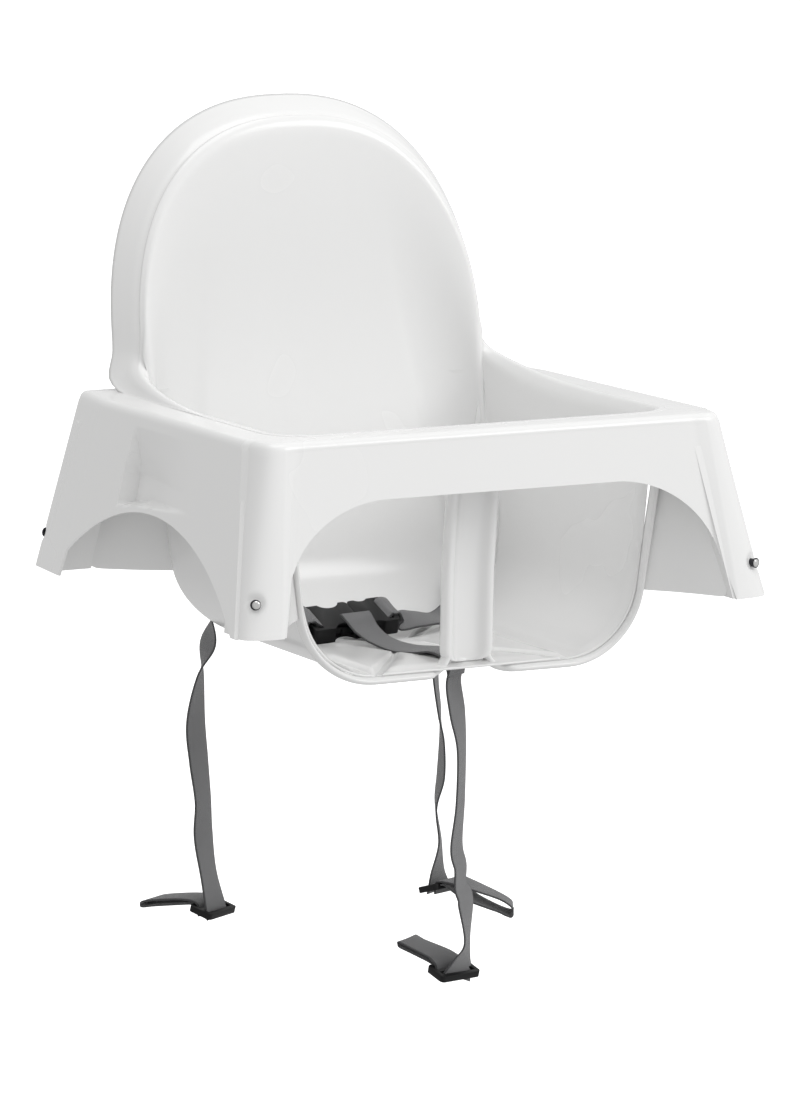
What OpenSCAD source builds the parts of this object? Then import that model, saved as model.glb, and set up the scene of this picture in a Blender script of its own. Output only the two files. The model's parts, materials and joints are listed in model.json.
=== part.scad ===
/* [Shell] */
// Width over the outside of the rim
rim_w = 350; // [340:1:360]
// Depth over the outside of the rim
rim_d = 312; // [304:1:320]
// Height of the rim above the leg socket mouths
rim_h = 125; // [120:1:130]
// How far each corner spreads outward between the rim and the socket mouths
splay = 24; // [20:1:28]
// Wall thickness of the moulding
wall = 3; // [2.5:0.1:3.5]
// Height of the seat surface, measured from the socket mouths
seat_z = -43; // [-46:1:-40]
// Inside width of the seat at the level of the socket mouths
seat_w = 252; // [246:1:258]
// Inside width of the tub at the rim
tub_w = 286; // [280:1:290]
// Height of the top of the backrest above the socket mouths
back_top = 320; // [310:1:330]

/* [Leg sockets] */
// Width of a socket column, side to side
column_w = 32; // [30:0.5:34]
// Depth of a socket column, front to back
column_d = 38; // [36:0.5:40]
// Radius of the bore that takes a leg tube
leg_bore_r = 12.75; // [12:0.05:13]
// Length of the bore
leg_bore_len = 105; // [90:1:108]
// Height of the press buttons above the socket mouths
button_z = 23; // [20:1:26]

/* [Straps] */
// Width of the webbing
webbing_w = 25; // [24:0.5:26]
// Thickness of the webbing
webbing_t = 1.4; // [1.2:0.1:1.5]
// Distance of each waist strap's slot from the middle
waist_slot_x = 88; // [84:1:92]
// Height of the adjusters below the socket mouths
adjuster_drop = 246; // [230:1:250]

/* [Hidden] */
$fn = 64;
white = "WhiteSmoke";
black = "DimGray";
webbing_grey = "SlateGray";
steel = "Silver";
gap = 0.05;

// tub: walls, corners and fillets
front_y = -122;
front_lean = -0.064;
rear_y = 113;
rear_lean = 0.2;
side_lean = (tub_w - seat_w) / 2 / rim_h;
rear_corner = 70;
side_fillet = 46;
rear_fillet = 60;
front_fillet = 14;
join_z = 20;
bulge = 10;

// backrest arch: the springing line, its half width and its lean
arch_z = rim_h + 25;
arch_half = 128;
arch_power = 2.1;
arch_y = rim_d / 2 - 23;
flange = 25;
flange_out = 7;
arch_top = back_top - flange_out + 1;

// leg openings in the front of the tub
opening_top = 84;
post_half = 17;
opening_r = 44;

// wide arches cut into the skirts
side_arch_r = 221;
side_arch_top = 60;
side_arch_y = -9;
front_arch_top = 84;
front_arch_corner = 80;

function fillet(h, r) = h >= r ? 0 : r - sqrt(r * r - (r - h) * (r - h));
function half_w(z) = seat_w / 2 + side_lean * z;
function arc(cx, cy, r, a0, n) = [for (i = [0 : n]) [cx + r * cos(a0 + 90 * i / n), cy + r * sin(a0 + 90 * i / n)]];
function mirrored(p) = [for (i = [len(p) - 2 : -1 : 1]) [-p[i][0], p[i][1], p[i][2]]];

// right half of a level ring of the tub, from the front centre round to the rear centre
function level_half(z, grow) =
    let (h = z - seat_z + grow,
        a = half_w(z) + grow - fillet(h, side_fillet + grow),
        f = front_y + front_lean * max(z, 0) - grow + fillet(h, front_fillet + grow),
        g = rear_y + rear_lean * z + grow - fillet(h, rear_fillet + grow),
        rf = max(5, 8 + 17 * max(z, 0) / rim_h + grow - fillet(h, front_fillet)),
        rr = max(8, rear_corner + grow - fillet(h, rear_fillet)),
        plan = concat([for (k = [0, 0.33, 0.66]) [k * (a - rf), f]], arc(a - rf, f + rf, rf, -90, 4),
            [for (k = [0.33, 0.66]) [a, (f + rf) * (1 - k) + (g - rr) * k]], arc(a - rr, g - rr, rr, 0, 9),
            [for (k = [0.67, 0.33, 0]) [k * (a - rr), g]]))
    [for (p = plan) [p[0], p[1], z]];

// right half of the tub's top edge: level along the front and side, then up round the backrest
rise_count = 13;
function arch_point(t) = [arch_half * pow(cos(90 * t), 2 / arch_power),
    arch_z + (arch_top - arch_z) * pow(sin(90 * t), 2 / arch_power)];
function rise_point(i) =
    i < 4 ? [arch_half + (tub_w / 2 - arch_half) * cos(22.5 * i),
        66 + (arch_y + 5 - 66) * sin(22.5 * i), rim_h + 25 * (1 - cos(22.5 * i))]
    : let (q = arch_point((i - 4) / (rise_count - 4))) [q[0], arch_y + rear_lean * (q[1] - rim_h), q[1]];
function edge_half() =
    let (low = level_half(rim_h, 0), n = len(low) - rise_count)
    concat([for (i = [0 : n - 1]) low[i]], [for (i = [1 : rise_count]) rise_point(i)]);

// rings of the whole tub, in order: inner floor, up to the edge, round the flange, down to the outer floor
function lerp3(a, b, s) = [for (k = [0 : 2]) a[k] + (b[k] - a[k]) * s];
function weight(i, from, to) = min(1, max(0, (i - from) / (to - from)));
join_in = level_half(join_z, 0);
join_out = level_half(join_z, wall);
edge = edge_half();
function side_shift(i) = [join_out[i][0] - join_in[i][0], join_out[i][1] - join_in[i][1], 0];
function wall_point(i, s) = lerp3(join_in[i], edge[i], s) + [0, bulge * sin(180 * s) * weight(i, 10, 16), 0];
function arch_out(i) =
    let (g = [pow(max(edge[i][0], 0) / arch_half, arch_power - 1) / arch_half,
            pow(max(edge[i][2] - arch_z, 0) / (arch_top - arch_z), arch_power - 1) / (arch_top - arch_z)])
    norm(g) == 0 ? [0, 0, 1] : [g[0] / norm(g), 0, g[1] / norm(g)];
function flange_point(i, out, back, level_drop) =
    lerp3(edge[i] + side_shift(i) - [0, 0, level_drop], edge[i] + arch_out(i) * out + [0, back, 0], weight(i, 10, 14));
half_rings = concat(
    [for (h = [0, 1.5, 5, 11, 19, 30, 44]) level_half(seat_z + h, 0)],
    [for (s = [0, 0.2, 0.4, 0.6, 0.8, 1]) [for (i = [0 : len(edge) - 1]) wall_point(i, s)]],
    [[for (i = [0 : len(edge) - 1]) flange_point(i, wall, 0, 0)]],
    [[for (i = [0 : len(edge) - 1]) flange_point(i, flange_out, flange, 3)]],
    [[for (i = [0 : len(edge) - 1]) flange_point(i, flange_out - wall, flange, 5)]],
    [[for (i = [0 : len(edge) - 1]) flange_point(i, 0, wall + 0.5, 8)]],
    [for (s = [0.8, 0.6, 0.4, 0.2, 0]) [for (i = [0 : len(edge) - 1]) wall_point(i, s) + side_shift(i)]],
    [for (h = [47, 33, 21, 12, 5, 1.5, 0]) level_half(seat_z - wall + h, wall)]);
rings = [for (h = half_rings) concat(h, mirrored(h))];
ring_n = len(rings[0]);

module ring_solid(rings) {
    n = len(rings[0]);
    m = len(rings);
    points = concat([for (ring = rings) for (p = ring) p], [[0, 0, rings[0][0][2]], [0, 0, rings[m - 1][0][2]]]);
    sides = [for (j = [0 : m - 2]) for (i = [0 : n - 1]) let (k = (i + 1) % n)
        each [[j * n + i, j * n + k, (j + 1) * n + k], [j * n + i, (j + 1) * n + k, (j + 1) * n + i]]];
    floor_in = [for (i = [0 : n - 1]) [m * n, (i + 1) % n, i]];
    floor_out = [for (i = [0 : n - 1]) [m * n + 1, (m - 1) * n + i, (m - 1) * n + (i + 1) % n]];
    polyhedron(points = points, faces = concat(floor_in, sides, floor_out), convexity = 8);
}

module leg_opening_profile() {
    right = seat_w / 2 - 1;
    translate([post_half, seat_z + opening_r]) square([right - post_half, opening_top - seat_z - opening_r]);
    translate([post_half, seat_z]) square([right - post_half - opening_r, opening_r + 1]);
    translate([right - opening_r, seat_z + opening_r]) circle(r = opening_r);
}

module leg_opening() {
    translate([0, front_y + 20, 0]) rotate([90, 0, 0]) linear_extrude(height = 60) leg_opening_profile();
}

waist_slot_z = -19;
crotch_slot_y = -94;
slot_w = webbing_w + 4;
slot_t = 4.4;
slot_turn = 29;

// the waist straps leave through the tub's rounded rear corners
module at_waist_slot(s) {
    translate([s * waist_slot_x, 90, waist_slot_z]) rotate([0, 0, -s * slot_turn]) children();
}

// one skin for bucket, backrest and crotch post
module seat_tub() {
    color(white) difference() {
        ring_solid(rings);
        leg_opening();
        mirror([1, 0, 0]) leg_opening();
        for (s = [-1, 1]) at_waist_slot(s) cube([slot_w, 34, slot_t], center = true);
        translate([-slot_w / 2, crotch_slot_y - slot_t / 2, seat_z - 10]) cube([slot_w, slot_t, 20]);
    }
}

// leg sockets: a column leaning along the leg's axis, cut level at rim and mouth
lean = splay / rim_h;
mouth_x = rim_w / 2 + splay - column_w / 2;
mouth_y = rim_d / 2 + splay - column_d / 2;
corner_r = 13;

module leaned(sx, sy) {
    b = atan(-sx * lean);
    translate([sx * mouth_x, sy * mouth_y, 0]) rotate([atan(sy * lean * cos(b)), b, 0]) children();
}

module column_outline(sx, sy, grow) {
    w = column_w / 2 + grow;
    d = column_d / 2 + grow;
    r = corner_r + grow;
    scale_x = sx < 0 ? 1 : 0;
    scale_y = sy < 0 ? 1 : 0;
    mirror([scale_x, 0]) mirror([0, scale_y]) {
        translate([-w, -d]) square([2 * w - r, 2 * d]);
        translate([-w, -d]) square([2 * w, 2 * d - r]);
        translate([w - r, d - r]) circle(r = r);
    }
}

module column(sx, sy, grow) {
    leaned(sx, sy) translate([0, 0, -40]) linear_extrude(height = rim_h + 80) column_outline(sx, sy, grow);
}

// press button axis: level, from the bore's axis out through the corner's rounded face
button_turn = 66.4;
button_face = 19.6;

module on_button_axis(sx, sy) {
    axis_x = sx * (mouth_x - lean * button_z);
    axis_y = sy * (mouth_y - lean * button_z);
    turn = sy * (sx > 0 ? button_turn : 180 - button_turn);
    translate([axis_x, axis_y, button_z]) rotate([0, 90, turn]) children();
}

module leg_socket(sx, sy) {
    color(white) difference() {
        intersection() {
            column(sx, sy, 0);
            translate([-300, -300, 0]) cube([600, 600, rim_h - wall - gap]);
        }
        leaned(sx, sy) translate([0, 0, -30]) cylinder(r = leg_bore_r, h = leg_bore_len + 30);
        on_button_axis(sx, sy) translate([0, 0, 8]) cylinder(r = 2.05, h = 12);
        on_button_axis(sx, sy) translate([0, 0, button_face - 4]) cylinder(r = 3.3, h = 14);
    }
}
module leg_socket_front_left() { leg_socket(-1, -1); }
module leg_socket_front_right() { leg_socket(1, -1); }
module leg_socket_rear_left() { leg_socket(-1, 1); }
module leg_socket_rear_right() { leg_socket(1, 1); }

module press_button(sx, sy) {
    color(steel) on_button_axis(sx, sy) union() {
        translate([0, 0, 14]) cylinder(r = 2, h = button_face - 13);
        translate([0, 0, button_face + 0.2]) cylinder(r = 2.9, h = 1);
        translate([0, 0, button_face + 1.2]) cylinder(r1 = 2.9, r2 = 1.9, h = 1);
    }
}
module press_button_front_left() { press_button(-1, -1); }
module press_button_front_right() { press_button(1, -1); }
module press_button_rear_left() { press_button(-1, 1); }
module press_button_rear_right() { press_button(1, 1); }

module button_spring(sx, sy) {
    color(steel) on_button_axis(sx, sy) translate([0, 0, button_face - 3.95]) difference() {
        cylinder(r = 2.8, h = 4.05);
        translate([0, 0, -1]) cylinder(r = 2.2, h = 7);
    }
}
module button_spring_front_left() { button_spring(-1, -1); }
module button_spring_front_right() { button_spring(1, -1); }
module button_spring_rear_left() { button_spring(-1, 1); }
module button_spring_rear_right() { button_spring(1, 1); }

// rim plate, skirts and diagonal webs
function rim_ring_point(i) =
    let (e = edge[i], b = join_in[i], s = e[2] > rim_h ? (rim_h - join_z) / (e[2] - join_z) : 1)
    [for (k = [0 : 1]) wall_point(i, s)[k] + side_shift(i)[k] * (1.2 + 0.7 * weight(i, 9, 11))];
rim_half = [for (i = [0 : len(edge) - 1]) rim_ring_point(i)];
rim_hole = concat(rim_half, [for (i = [len(rim_half) - 2 : -1 : 1]) [-rim_half[i][0], rim_half[i][1]]]);

module rim_plate() {
    w = rim_w / 2 - 0.5;
    d = rim_d / 2 - 0.5;
    r = corner_r + 1;
    translate([0, 0, rim_h - wall]) linear_extrude(height = wall) difference() {
        union() {
            translate([r - w, -d]) square([2 * w - 2 * r, 2 * d]);
            translate([-w, r - d]) square([2 * w, 2 * d - 2 * r]);
            for (x = [-1, 1]) for (y = [-1, 1]) translate([x * (w - r), y * (d - r)]) circle(r = r);
        }
        polygon(rim_hole);
    }
}

// a skirt panel, drawn flat: narrow at the rim, wide at the mouths
module skirt_panel(top_half, low_half) {
    h = rim_h / cos(atan(lean)) + 0.1;
    translate([0, 0, -wall]) linear_extrude(height = wall)
        polygon([[-top_half, 0], [top_half, 0], [low_half, -h - 4], [-low_half, -h - 4]]);
}

module level_cut() {
    translate([-rim_w, -rim_d, rim_h]) cube([2 * rim_w, 2 * rim_d, 50]);
    translate([-rim_w, -rim_d, -50]) cube([2 * rim_w, 2 * rim_d, 50]);
}

module side_skirt() {
    difference() {
        translate([rim_w / 2, 0, rim_h]) rotate([90 - atan(lean), 0, 90])
            skirt_panel(rim_d / 2 - 20, rim_d / 2 - 6);
        translate([0, side_arch_y, side_arch_top - side_arch_r]) rotate([0, 90, 0])
            cylinder(r = side_arch_r, h = rim_w, $fn = 180);
        level_cut();
    }
}

module front_arch_profile() {
    half = mouth_x - column_w / 2;
    flat = half - front_arch_corner;
    translate([-flat, -1]) square([2 * flat, front_arch_top + 1]);
    translate([-half, -1]) square([2 * half, front_arch_top - front_arch_corner + 1]);
    for (s = [-1, 1]) translate([s * flat, front_arch_top - front_arch_corner]) circle(r = front_arch_corner);
}

module front_skirt() {
    difference() {
        translate([0, -rim_d / 2, rim_h]) rotate([90 - atan(lean), 0, 0])
            skirt_panel(rim_w / 2 - 18, rim_w / 2 + 2);
        rotate([90, 0, 0]) linear_extrude(height = rim_d) front_arch_profile();
        level_cut();
    }
}

// a wall from each socket to the tub's nearest corner; its top leans in with the socket
module web(tub_x, tub_y, socket_y, mid_start, top_start) {
    run = norm([mouth_x - tub_x, socket_y - tub_y]);
    top = rim_h - 1;
    translate([tub_x, tub_y, 0]) rotate([0, 0, atan2(socket_y - tub_y, mouth_x - tub_x)])
        rotate([90, 0, 0]) translate([0, 0, -wall / 2]) linear_extrude(height = wall)
            polygon([[0, 0], [run, 0], [run - 1.41 * splay, top], [top_start, top], [mid_start, top / 2]]);
}

module rim_frame() {
    color(white) union() {
        rim_plate();
        difference() {
            union() {
                side_skirt();
                mirror([1, 0, 0]) side_skirt();
                front_skirt();
                mirror([0, 1, 0]) front_skirt();
                for (s = [0, 1]) mirror([s, 0, 0]) {
                    web(129.5, -124, -mouth_y, 6, 12);
                    web(119.4, 93.5, mouth_y, 15, 32.8);
                }
            }
            for (sx = [-1, 1]) for (sy = [-1, 1]) column(sx, sy, gap);
        }
    }
}

// side release buckle, propped on the seat: x along the strap, z out of its face
buckle_at = [-31, 10, -27.5];
buckle_tilt = 20;
buckle_rise = -3;
buckle_w = 33;
buckle_t = 11;

module on_buckle() {
    translate(buckle_at) rotate([buckle_tilt, buckle_rise, 0]) children();
}

module rounded_bar(l, w, t, r) {
    translate([0, 0, -t / 2]) linear_extrude(height = t) union() {
        translate([r, -w / 2]) square([l - 2 * r, w]);
        translate([0, -w / 2 + r]) square([l, w - 2 * r]);
        for (x = [r, l - r]) for (y = [r - w / 2, w / 2 - r]) translate([x, y]) circle(r = r);
    }
}

module buckle_socket() {
    color(black) on_buckle() difference() {
        translate([-33, 0, 0]) rounded_bar(38, buckle_w, buckle_t, 3);
        translate([-21, -14.5, -3.4]) cube([40, 29, 6.8]);
        translate([-29.5, -13.5, -10]) cube([4.2, 27, 20]);
        for (s = [-1, 1]) translate([-9, s * (buckle_w / 2 + 3), -10]) cylinder(r = 8.5, h = 20);
    }
}

module buckle_tongue() {
    color(black) on_buckle() difference() {
        union() {
            translate([5.4, 0, 0]) rounded_bar(27, buckle_w, buckle_t, 3);
            translate([-14, -3, -2.4]) cube([20, 6, 4.8]);
        }
        for (s = [-1, 1]) translate([4, s * 10.5 - 3.2, -4]) cube([4.6, 6.4, 8]);
        translate([24.8, -13.5, -10]) cube([4.2, 27, 20]);
        for (s = [-1, 1]) translate([16, s * (buckle_w / 2 + 3.5), -10]) cylinder(r = 6, h = 20);
    }
}

module buckle_prong(s) {
    color(black) on_buckle() union() {
        translate([-14.5, s * 10.6 - 1.4, -2.6]) cube([22.4, 2.8, 5.2]);
        translate([-11, s * 11.4 - 2, -2.6]) cube([8, 4, 5.2]);
    }
}
module buckle_prong_front() { buckle_prong(-1); }
module buckle_prong_rear() { buckle_prong(1); }

// webbing

// a flat run of webbing between two points, its width level
module strap_run(p, q) {
    d = q - p;
    translate(p) rotate([0, -atan2(d[2], norm([d[0], d[1]])), atan2(d[1], d[0])])
        translate([-1, -webbing_w / 2, -webbing_t / 2]) cube([norm(d) + 2, webbing_w, webbing_t]);
}

module slot_strap(s) {
    at_waist_slot(s) translate([-webbing_w / 2, -12, -webbing_t / 2]) cube([webbing_w, 28, webbing_t]);
}

module waist_strap_left() {
    color(webbing_grey) union() {
        on_buckle() translate([-36, -webbing_w / 2, -6]) cube([webbing_t, webbing_w, 12]);
        strap_run([-90, 10.5, -32.5], [-66.5, 10, -30.5]);
        strap_run([-85, 48, -31.5], [-79.5, 2, -32.5]);
        strap_run([-83, 81, waist_slot_z], [-85, 48, -31.5]);
        slot_strap(-1);
    }
}

module waist_strap_right() {
    color(webbing_grey) union() {
        on_buckle() translate([33, -webbing_w / 2, -6]) cube([webbing_t, webbing_w, 12]);
        strap_run([22, 11, -29], [3.6, 10, -26.5]);
        strap_run([56, 34, -33], [20, 11, -29]);
        strap_run([83, 81, waist_slot_z], [56, 34, -33]);
        slot_strap(1);
    }
}

module crotch_strap() {
    color(webbing_grey) union() {
        translate([-webbing_w / 2, crotch_slot_y - webbing_t / 2, seat_z - 6]) cube([webbing_w, webbing_t, 8]);
        strap_run([0, crotch_slot_y, seat_z + 1.5], [-5, -50, seat_z + 3]);
        strap_run([-5, -50, seat_z + 3], [-18, -12, seat_z + 1.5]);
    }
}

// hanging tails
tail_y = 108;
left_turn = 30;
right_turn = 200;
crotch_turn = 10;
tail_top = -22.5;
crotch_top = seat_z - 8;

module strap_tail(x, y, top, low, turn) {
    color(webbing_grey) translate([x, y, low]) rotate([0, 0, turn])
        translate([-webbing_w / 2, -webbing_t / 2, 0]) cube([webbing_w, webbing_t, top - low]);
}
module strap_tail_left() { strap_tail(-waist_slot_x, tail_y, tail_top, -adjuster_drop - 3, left_turn); }
module strap_tail_right() { strap_tail(waist_slot_x, tail_y, tail_top, -adjuster_drop - 3, right_turn); }
module strap_tail_crotch() { strap_tail(0, crotch_slot_y, crotch_top, -adjuster_drop - 16, crotch_turn); }

// adjuster: a plate with two slots; the tail runs down through the near one
adjuster_tilt = 16;
module adjuster_plate() {
    rotate([adjuster_tilt, 0, 0]) difference() {
        translate([-16.5, 3.6, 0]) rounded_bar(33, 19, 4.5, 3);
        for (y = [0, 7.4]) translate([-13.4, y - 2.2, -5]) cube([26.8, 4.4, 10]);
    }
}
// the free end: up through the far slot, then out behind, folded double
module strap_end_shape(l) {
    translate([-webbing_w / 2, 6.7, -1]) cube([webbing_w, webbing_t, 7.5]);
    translate([-webbing_w / 2, 6.7, 6.3]) cube([webbing_w, l, 2.8]);
}
module at_adjuster(x, y, z, turn) {
    translate([x, y, z]) rotate([0, 0, turn]) children();
}
module at_left() { at_adjuster(-waist_slot_x, tail_y, -adjuster_drop, left_turn) children(); }
module at_right() { at_adjuster(waist_slot_x, tail_y, -adjuster_drop, right_turn) children(); }
module at_crotch() { at_adjuster(0, crotch_slot_y, -adjuster_drop - 13, crotch_turn) children(); }
module strap_adjuster_left() { color(black) at_left() adjuster_plate(); }
module strap_adjuster_right() { color(black) at_right() adjuster_plate(); }
module strap_adjuster_crotch() { color(black) at_crotch() adjuster_plate(); }
module strap_end_left() { color(webbing_grey) at_left() strap_end_shape(56); }
module strap_end_right() { color(webbing_grey) at_right() strap_end_shape(54); }
module strap_end_crotch() { color(webbing_grey) at_crotch() strap_end_shape(52); }

seat_tub();
rim_frame();
leg_socket_front_left();
leg_socket_front_right();
leg_socket_rear_left();
leg_socket_rear_right();
press_button_front_left();
press_button_front_right();
press_button_rear_left();
press_button_rear_right();
button_spring_front_left();
button_spring_front_right();
button_spring_rear_left();
button_spring_rear_right();
buckle_socket();
buckle_tongue();
buckle_prong_front();
buckle_prong_rear();
waist_strap_left();
waist_strap_right();
crotch_strap();
strap_tail_left();
strap_tail_right();
strap_tail_crotch();
strap_adjuster_left();
strap_adjuster_right();
strap_adjuster_crotch();
strap_end_left();
strap_end_right();
strap_end_crotch();
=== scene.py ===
"""Looks of a baby high chair seat: a moulded shell, four leg sockets and a buckled restraint.

Lengths are in millimetres until a mesh is finished, when MM turns them into metres.
The shell and the webbing are built here; the buckle, the adjusters and the buttons are
the frame's own solids with softened edges.
"""

import json
import logging
import math
from dataclasses import dataclass, field
from enum import Enum
from typing import Iterable, Sequence

import bmesh
import bpy
from mathutils import Matrix, Vector

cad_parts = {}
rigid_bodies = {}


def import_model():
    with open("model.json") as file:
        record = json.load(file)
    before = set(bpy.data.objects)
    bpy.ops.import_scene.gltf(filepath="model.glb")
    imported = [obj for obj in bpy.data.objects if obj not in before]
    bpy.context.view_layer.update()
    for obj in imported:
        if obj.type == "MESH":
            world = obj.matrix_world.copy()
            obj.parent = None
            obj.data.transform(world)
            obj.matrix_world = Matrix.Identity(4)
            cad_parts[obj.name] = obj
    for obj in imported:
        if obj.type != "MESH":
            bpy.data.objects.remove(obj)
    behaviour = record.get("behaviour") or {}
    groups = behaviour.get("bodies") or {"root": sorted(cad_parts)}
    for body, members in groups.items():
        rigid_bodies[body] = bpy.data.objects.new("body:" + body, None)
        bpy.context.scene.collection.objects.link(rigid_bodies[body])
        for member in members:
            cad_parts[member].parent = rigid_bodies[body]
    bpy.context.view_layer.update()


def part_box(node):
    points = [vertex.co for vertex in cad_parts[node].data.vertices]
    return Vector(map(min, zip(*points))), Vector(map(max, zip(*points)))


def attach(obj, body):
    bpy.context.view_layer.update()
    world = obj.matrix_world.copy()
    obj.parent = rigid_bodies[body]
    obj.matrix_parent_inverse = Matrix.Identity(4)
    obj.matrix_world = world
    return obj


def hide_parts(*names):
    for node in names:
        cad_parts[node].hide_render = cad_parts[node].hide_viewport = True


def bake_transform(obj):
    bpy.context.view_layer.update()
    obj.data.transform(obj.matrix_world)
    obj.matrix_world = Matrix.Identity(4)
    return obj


MM = 0.001
TAU = 6.28318
FRONT_CUT = -118.0
LOG = logging.getLogger("high_chair_seat")
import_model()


class Slot(Enum):
    """The record's material slots."""

    SHELL = "shell_plastic"
    BUCKLE = "buckle_plastic"
    WEBBING = "webbing"
    STEEL = "button_steel"


# ---------------------------------------------------------------- small helpers


def smooth(x: float, low: float, high: float) -> float:
    """Ease from 0 at low to 1 at high.

    Args:
        x: Where to look.
        low: Where the ease starts.
        high: Where it ends.

    Returns:
        A share from 0 to 1.
    """
    t = min(1.0, max(0.0, (x - low) / (high - low)))
    return t * t * (3.0 - 2.0 * t)


def mix(a: Vector, b: Vector, share: float) -> Vector:
    """Return the point that lies share of the way from a to b."""
    return a + (b - a) * share


def along(stops: Sequence[tuple[float, float]], x: float) -> float:
    """Read a value off a list of stops, in straight steps.

    Args:
        stops: Pairs of place and value, with the places rising.
        x: The place to read.

    Returns:
        The value there, held beyond both ends.
    """
    if x <= stops[0][0]:
        return stops[0][1]
    for (x0, v0), (x1, v1) in zip(stops, stops[1:]):
        if x <= x1:
            return v0 + (v1 - v0) * (x - x0) / (x1 - x0)
    return stops[-1][1]


def spline(points: Sequence[Vector], count: int) -> list[Vector]:
    """Run a smooth curve through points.

    Args:
        points: The points it passes, ends included.
        count: How many points to return.

    Returns:
        Points evenly spread over the curve's own parameter.
    """
    ends = [points[0] * 2 - points[1], *points, points[-1] * 2 - points[-2]]
    spans = len(points) - 1
    out = []
    for k in range(count):
        s = min(k / (count - 1) * spans, spans - 1e-6)
        i, t = int(s), s - int(s)
        a, b, c, d = ends[i : i + 4]
        out.append(
            0.5
            * (
                2 * b
                + (c - a) * t
                + (2 * a - 5 * b + 4 * c - d) * t**2
                + (3 * b - a - 3 * c + d) * t**3
            )
        )
    return out


def loft(bm: bmesh.types.BMesh, rings: Sequence[Sequence[Vector]], closed: bool) -> list[list]:
    """Extrude one ring through all the others.

    Args:
        bm: The mesh to build in.
        rings: Rings of the same number of points, in order.
        closed: Whether each ring joins its own ends.

    Returns:
        The vertices, ring by ring.
    """
    first = [bm.verts.new(p) for p in rings[0]]
    pairs = list(zip(first, first[1:] + (first[:1] if closed else [])))
    edges = [bm.edges.new(pair) for pair in pairs]
    rows = [first]
    for ring in rings[1:]:
        made = bmesh.ops.extrude_edge_only(bm, edges=edges)["geom"]
        edges = [e for e in made if isinstance(e, bmesh.types.BMEdge)]
        old = {v: i for i, v in enumerate(rows[-1])}
        row = [None] * len(ring)
        for v in (v for v in made if isinstance(v, bmesh.types.BMVert)):
            i = next(old[e.other_vert(v)] for e in v.link_edges if e.other_vert(v) in old)
            row[i] = v
            v.co = ring[i]
        edges = [e for e in edges if e.verts[0] not in old and e.verts[1] not in old]
        rows.append(row)
    return rows


def close_ends(bm: bmesh.types.BMesh, rows: list[list]) -> None:
    """Close the first and last ring of a loft with a face each."""
    bm.faces.new(rows[0])
    bm.faces.new(rows[-1])


def finish_mesh(bm: bmesh.types.BMesh, name: str, turn: bool = True) -> bpy.types.Object:
    """Turn a millimetre bmesh into an object in metres at the origin.

    Args:
        bm: The mesh, which is freed.
        name: The object's name.
        turn: Whether to point the faces outwards.

    Returns:
        The new object, smooth shaded.
    """
    bmesh.ops.scale(bm, vec=(MM, MM, MM), verts=bm.verts)
    if turn:
        bmesh.ops.recalc_face_normals(bm, faces=bm.faces)
    mesh = bpy.data.meshes.new(name)
    bm.to_mesh(mesh)
    bm.free()
    mesh.shade_smooth()
    obj = bpy.data.objects.new(name, mesh)
    bpy.context.scene.collection.objects.link(obj)
    return obj


def settle(obj: bpy.types.Object) -> bpy.types.Object:
    """Apply every modifier of obj to its mesh.

    Args:
        obj: The piece, whose modifiers are used up.

    Returns:
        The same piece.
    """
    bpy.context.view_layer.update()
    depsgraph = bpy.context.evaluated_depsgraph_get()
    mesh = bpy.data.meshes.new_from_object(obj.evaluated_get(depsgraph))
    obj.modifiers.clear()
    old, obj.data = obj.data, mesh
    bpy.data.meshes.remove(old)
    mesh.name = obj.name
    return obj


def sharp_edges(obj: bpy.types.Object, degrees: float) -> None:
    """Split the shading of obj where its faces turn by more than this angle."""
    obj.data.shade_smooth()
    obj.data.set_sharp_from_angle(angle=math.radians(degrees))


def subdivide(obj: bpy.types.Object, levels: int) -> None:
    """Add a subdivision surface with the same levels everywhere."""
    mod = obj.modifiers.new("smooth", "SUBSURF")
    mod.levels = mod.render_levels = levels


def thicken(obj: bpy.types.Object, wall: float, inwards: float = -1.0) -> None:
    """Give a sheet its wall thickness, in millimetres, on one side.

    Args:
        obj: The sheet.
        wall: Its thickness in millimetres.
        inwards: -1 grows the wall inwards, 1 outwards and 0 both ways.
    """
    mod = obj.modifiers.new("wall", "SOLIDIFY")
    mod.thickness = wall * MM
    mod.offset = inwards
    mod.use_even_offset = True
    mod.thickness_clamp = 1.0


# ---------------------------------------------------------------- finishes


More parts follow.
